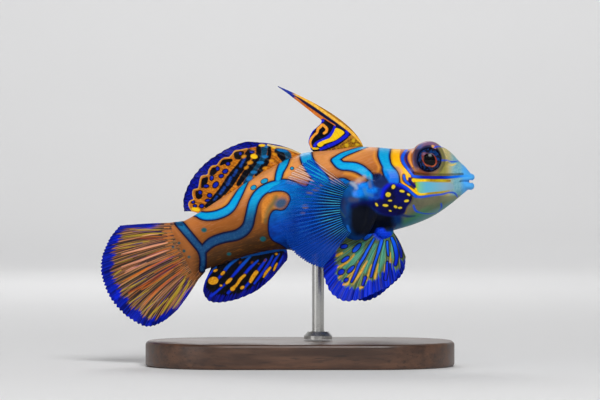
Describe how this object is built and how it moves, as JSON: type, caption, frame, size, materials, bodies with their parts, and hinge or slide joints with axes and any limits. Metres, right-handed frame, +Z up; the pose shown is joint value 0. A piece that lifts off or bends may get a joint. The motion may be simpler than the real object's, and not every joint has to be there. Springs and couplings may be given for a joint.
{
  "type": "mandarinfish display model",
  "caption": "Life-size still model of a male mandarinfish with fins spread, held by a slim rod on a low display base with rounded ends.",
  "frame": {"origin": "middle of the underside of the stand's base", "axes": "+X towards the fish's snout, +Y towards the fish's left side, +Z up"},
  "size_m": [0.0682, 0.034, 0.0509],
  "materials": {
    "skin_front": "smooth scaleless skin with a wet sheen, blue, cyan, green and orange bands edged with navy",
    "skin_rear": "smooth scaleless skin with a wet sheen, orange with blue bands edged with navy",
    "fin_warm": "thin rayed membrane, orange and brown with blue margins",
    "fin_cool": "thin rayed membrane, blue and green with yellow streaks and blue margins",
    "eye": "glossy, dark blue with a narrow orange-red ring round a black pupil",
    "stand_wood": "dark stained, satin",
    "stand_metal": "satin"
  },
  "bodies": {
    "root": {"head": "skin_front", "torso": "skin_front", "trunk_rear": "skin_rear", "tail_stalk": "skin_rear", "eye_right": "eye", "eye_left": "eye", "fin_dorsal_first": "fin_warm", "fin_dorsal_second": "fin_warm", "fin_caudal": "fin_warm", "fin_anal": "fin_cool", "fin_pectoral_right": "fin_cool", "fin_pectoral_left": "fin_cool", "fin_pelvic_right": "fin_cool", "fin_pelvic_left": "fin_cool", "stand_base": "stand_wood", "stand_collar": "stand_metal", "stand_rod": "stand_metal"}
  },
  "joints": []
}
